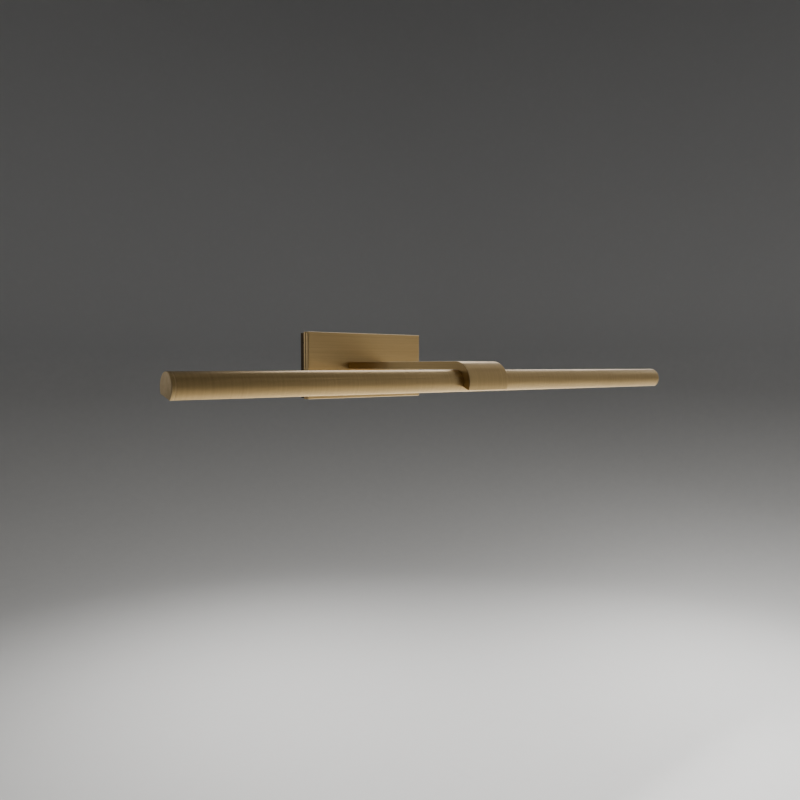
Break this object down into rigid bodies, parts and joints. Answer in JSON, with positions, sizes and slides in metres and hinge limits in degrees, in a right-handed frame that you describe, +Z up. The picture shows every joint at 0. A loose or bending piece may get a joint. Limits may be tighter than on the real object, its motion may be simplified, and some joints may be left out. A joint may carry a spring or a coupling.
{
  "type": "picture light",
  "caption": "Wall-mounted picture light: a slim brushed brass LED tube with a flat light window tilts under a hooked flat arm on a rectangular canopy.",
  "frame": {"origin": "centre of the canopy's wall side, midway between the two slots for the junction box screws", "axes": "+X along the lamp tube, +Y into the wall, +Z up"},
  "size_m": [0.686, 0.2388, 0.083],
  "materials": {
    "aged_brass": "aged brass, finely brushed along the piece, satin lacquer",
    "brass_tube": "aluminium extrusion plated aged brass, finely brushed round the tube, satin lacquer",
    "dark_brass": "dark aged brass, satin",
    "zinc_steel": "zinc-plated pressed steel",
    "screw_steel": "bright zinc-plated fasteners",
    "earth_green": "green passivated screw",
    "driver_case": "moulded fine-textured case",
    "terminal_plastic": "moulded nylon",
    "bushing_rubber": "moulded black rubber",
    "lead_insulation": "silicone wire insulation",
    "friction_nylon": "natural nylon pad",
    "frosted_acrylic": "extruded opal acrylic, satin, lit from behind",
    "carrier_aluminium": "mill-finish extrusion",
    "board_white": "white solder mask on an aluminium board",
    "led_phosphor": "moulded LED package with yellow phosphor"
  },
  "bodies": {
    "wall_arm": {"mounting_plate": "zinc_steel", "wire_bushing": "bushing_rubber", "canopy_body": "dark_brass", "face_plate": "aged_brass", "trim_band": "aged_brass", "canopy_set_screws": "screw_steel", "arm_backing_plate": "zinc_steel", "arm_screws": "screw_steel", "led_driver": "driver_case", "driver_screws": "screw_steel", "terminal_block": "terminal_plastic", "terminal_screws": "screw_steel", "ground_screw": "earth_green", "supply_leads": "lead_insulation", "lamp_leads": "lead_insulation", "arm": "aged_brass", "arm_cover": "aged_brass", "arm_cover_screws": "aged_brass", "pivot_stud": "zinc_steel", "pivot_saddle": "zinc_steel", "friction_pads": "friction_nylon", "spring_washer": "screw_steel", "pivot_nut": "screw_steel"},
    "lamp_head": {"lamp_tube": "brass_tube", "end_cap_left": "aged_brass", "end_cap_right": "aged_brass", "diffuser": "frosted_acrylic", "led_carrier": "carrier_aluminium", "led_board": "board_white", "led_chips": "led_phosphor", "board_screws": "screw_steel", "board_connector": "terminal_plastic", "head_leads": "lead_insulation"}
  },
  "joints": [
    {"name": "head_tilt", "type": "hinge", "parent": "wall_arm", "child": "lamp_head", "pos_m": [0, -0.217, -0.0174], "axis": [1, 0, 0], "range_deg": [-20, 40]}
  ]
}
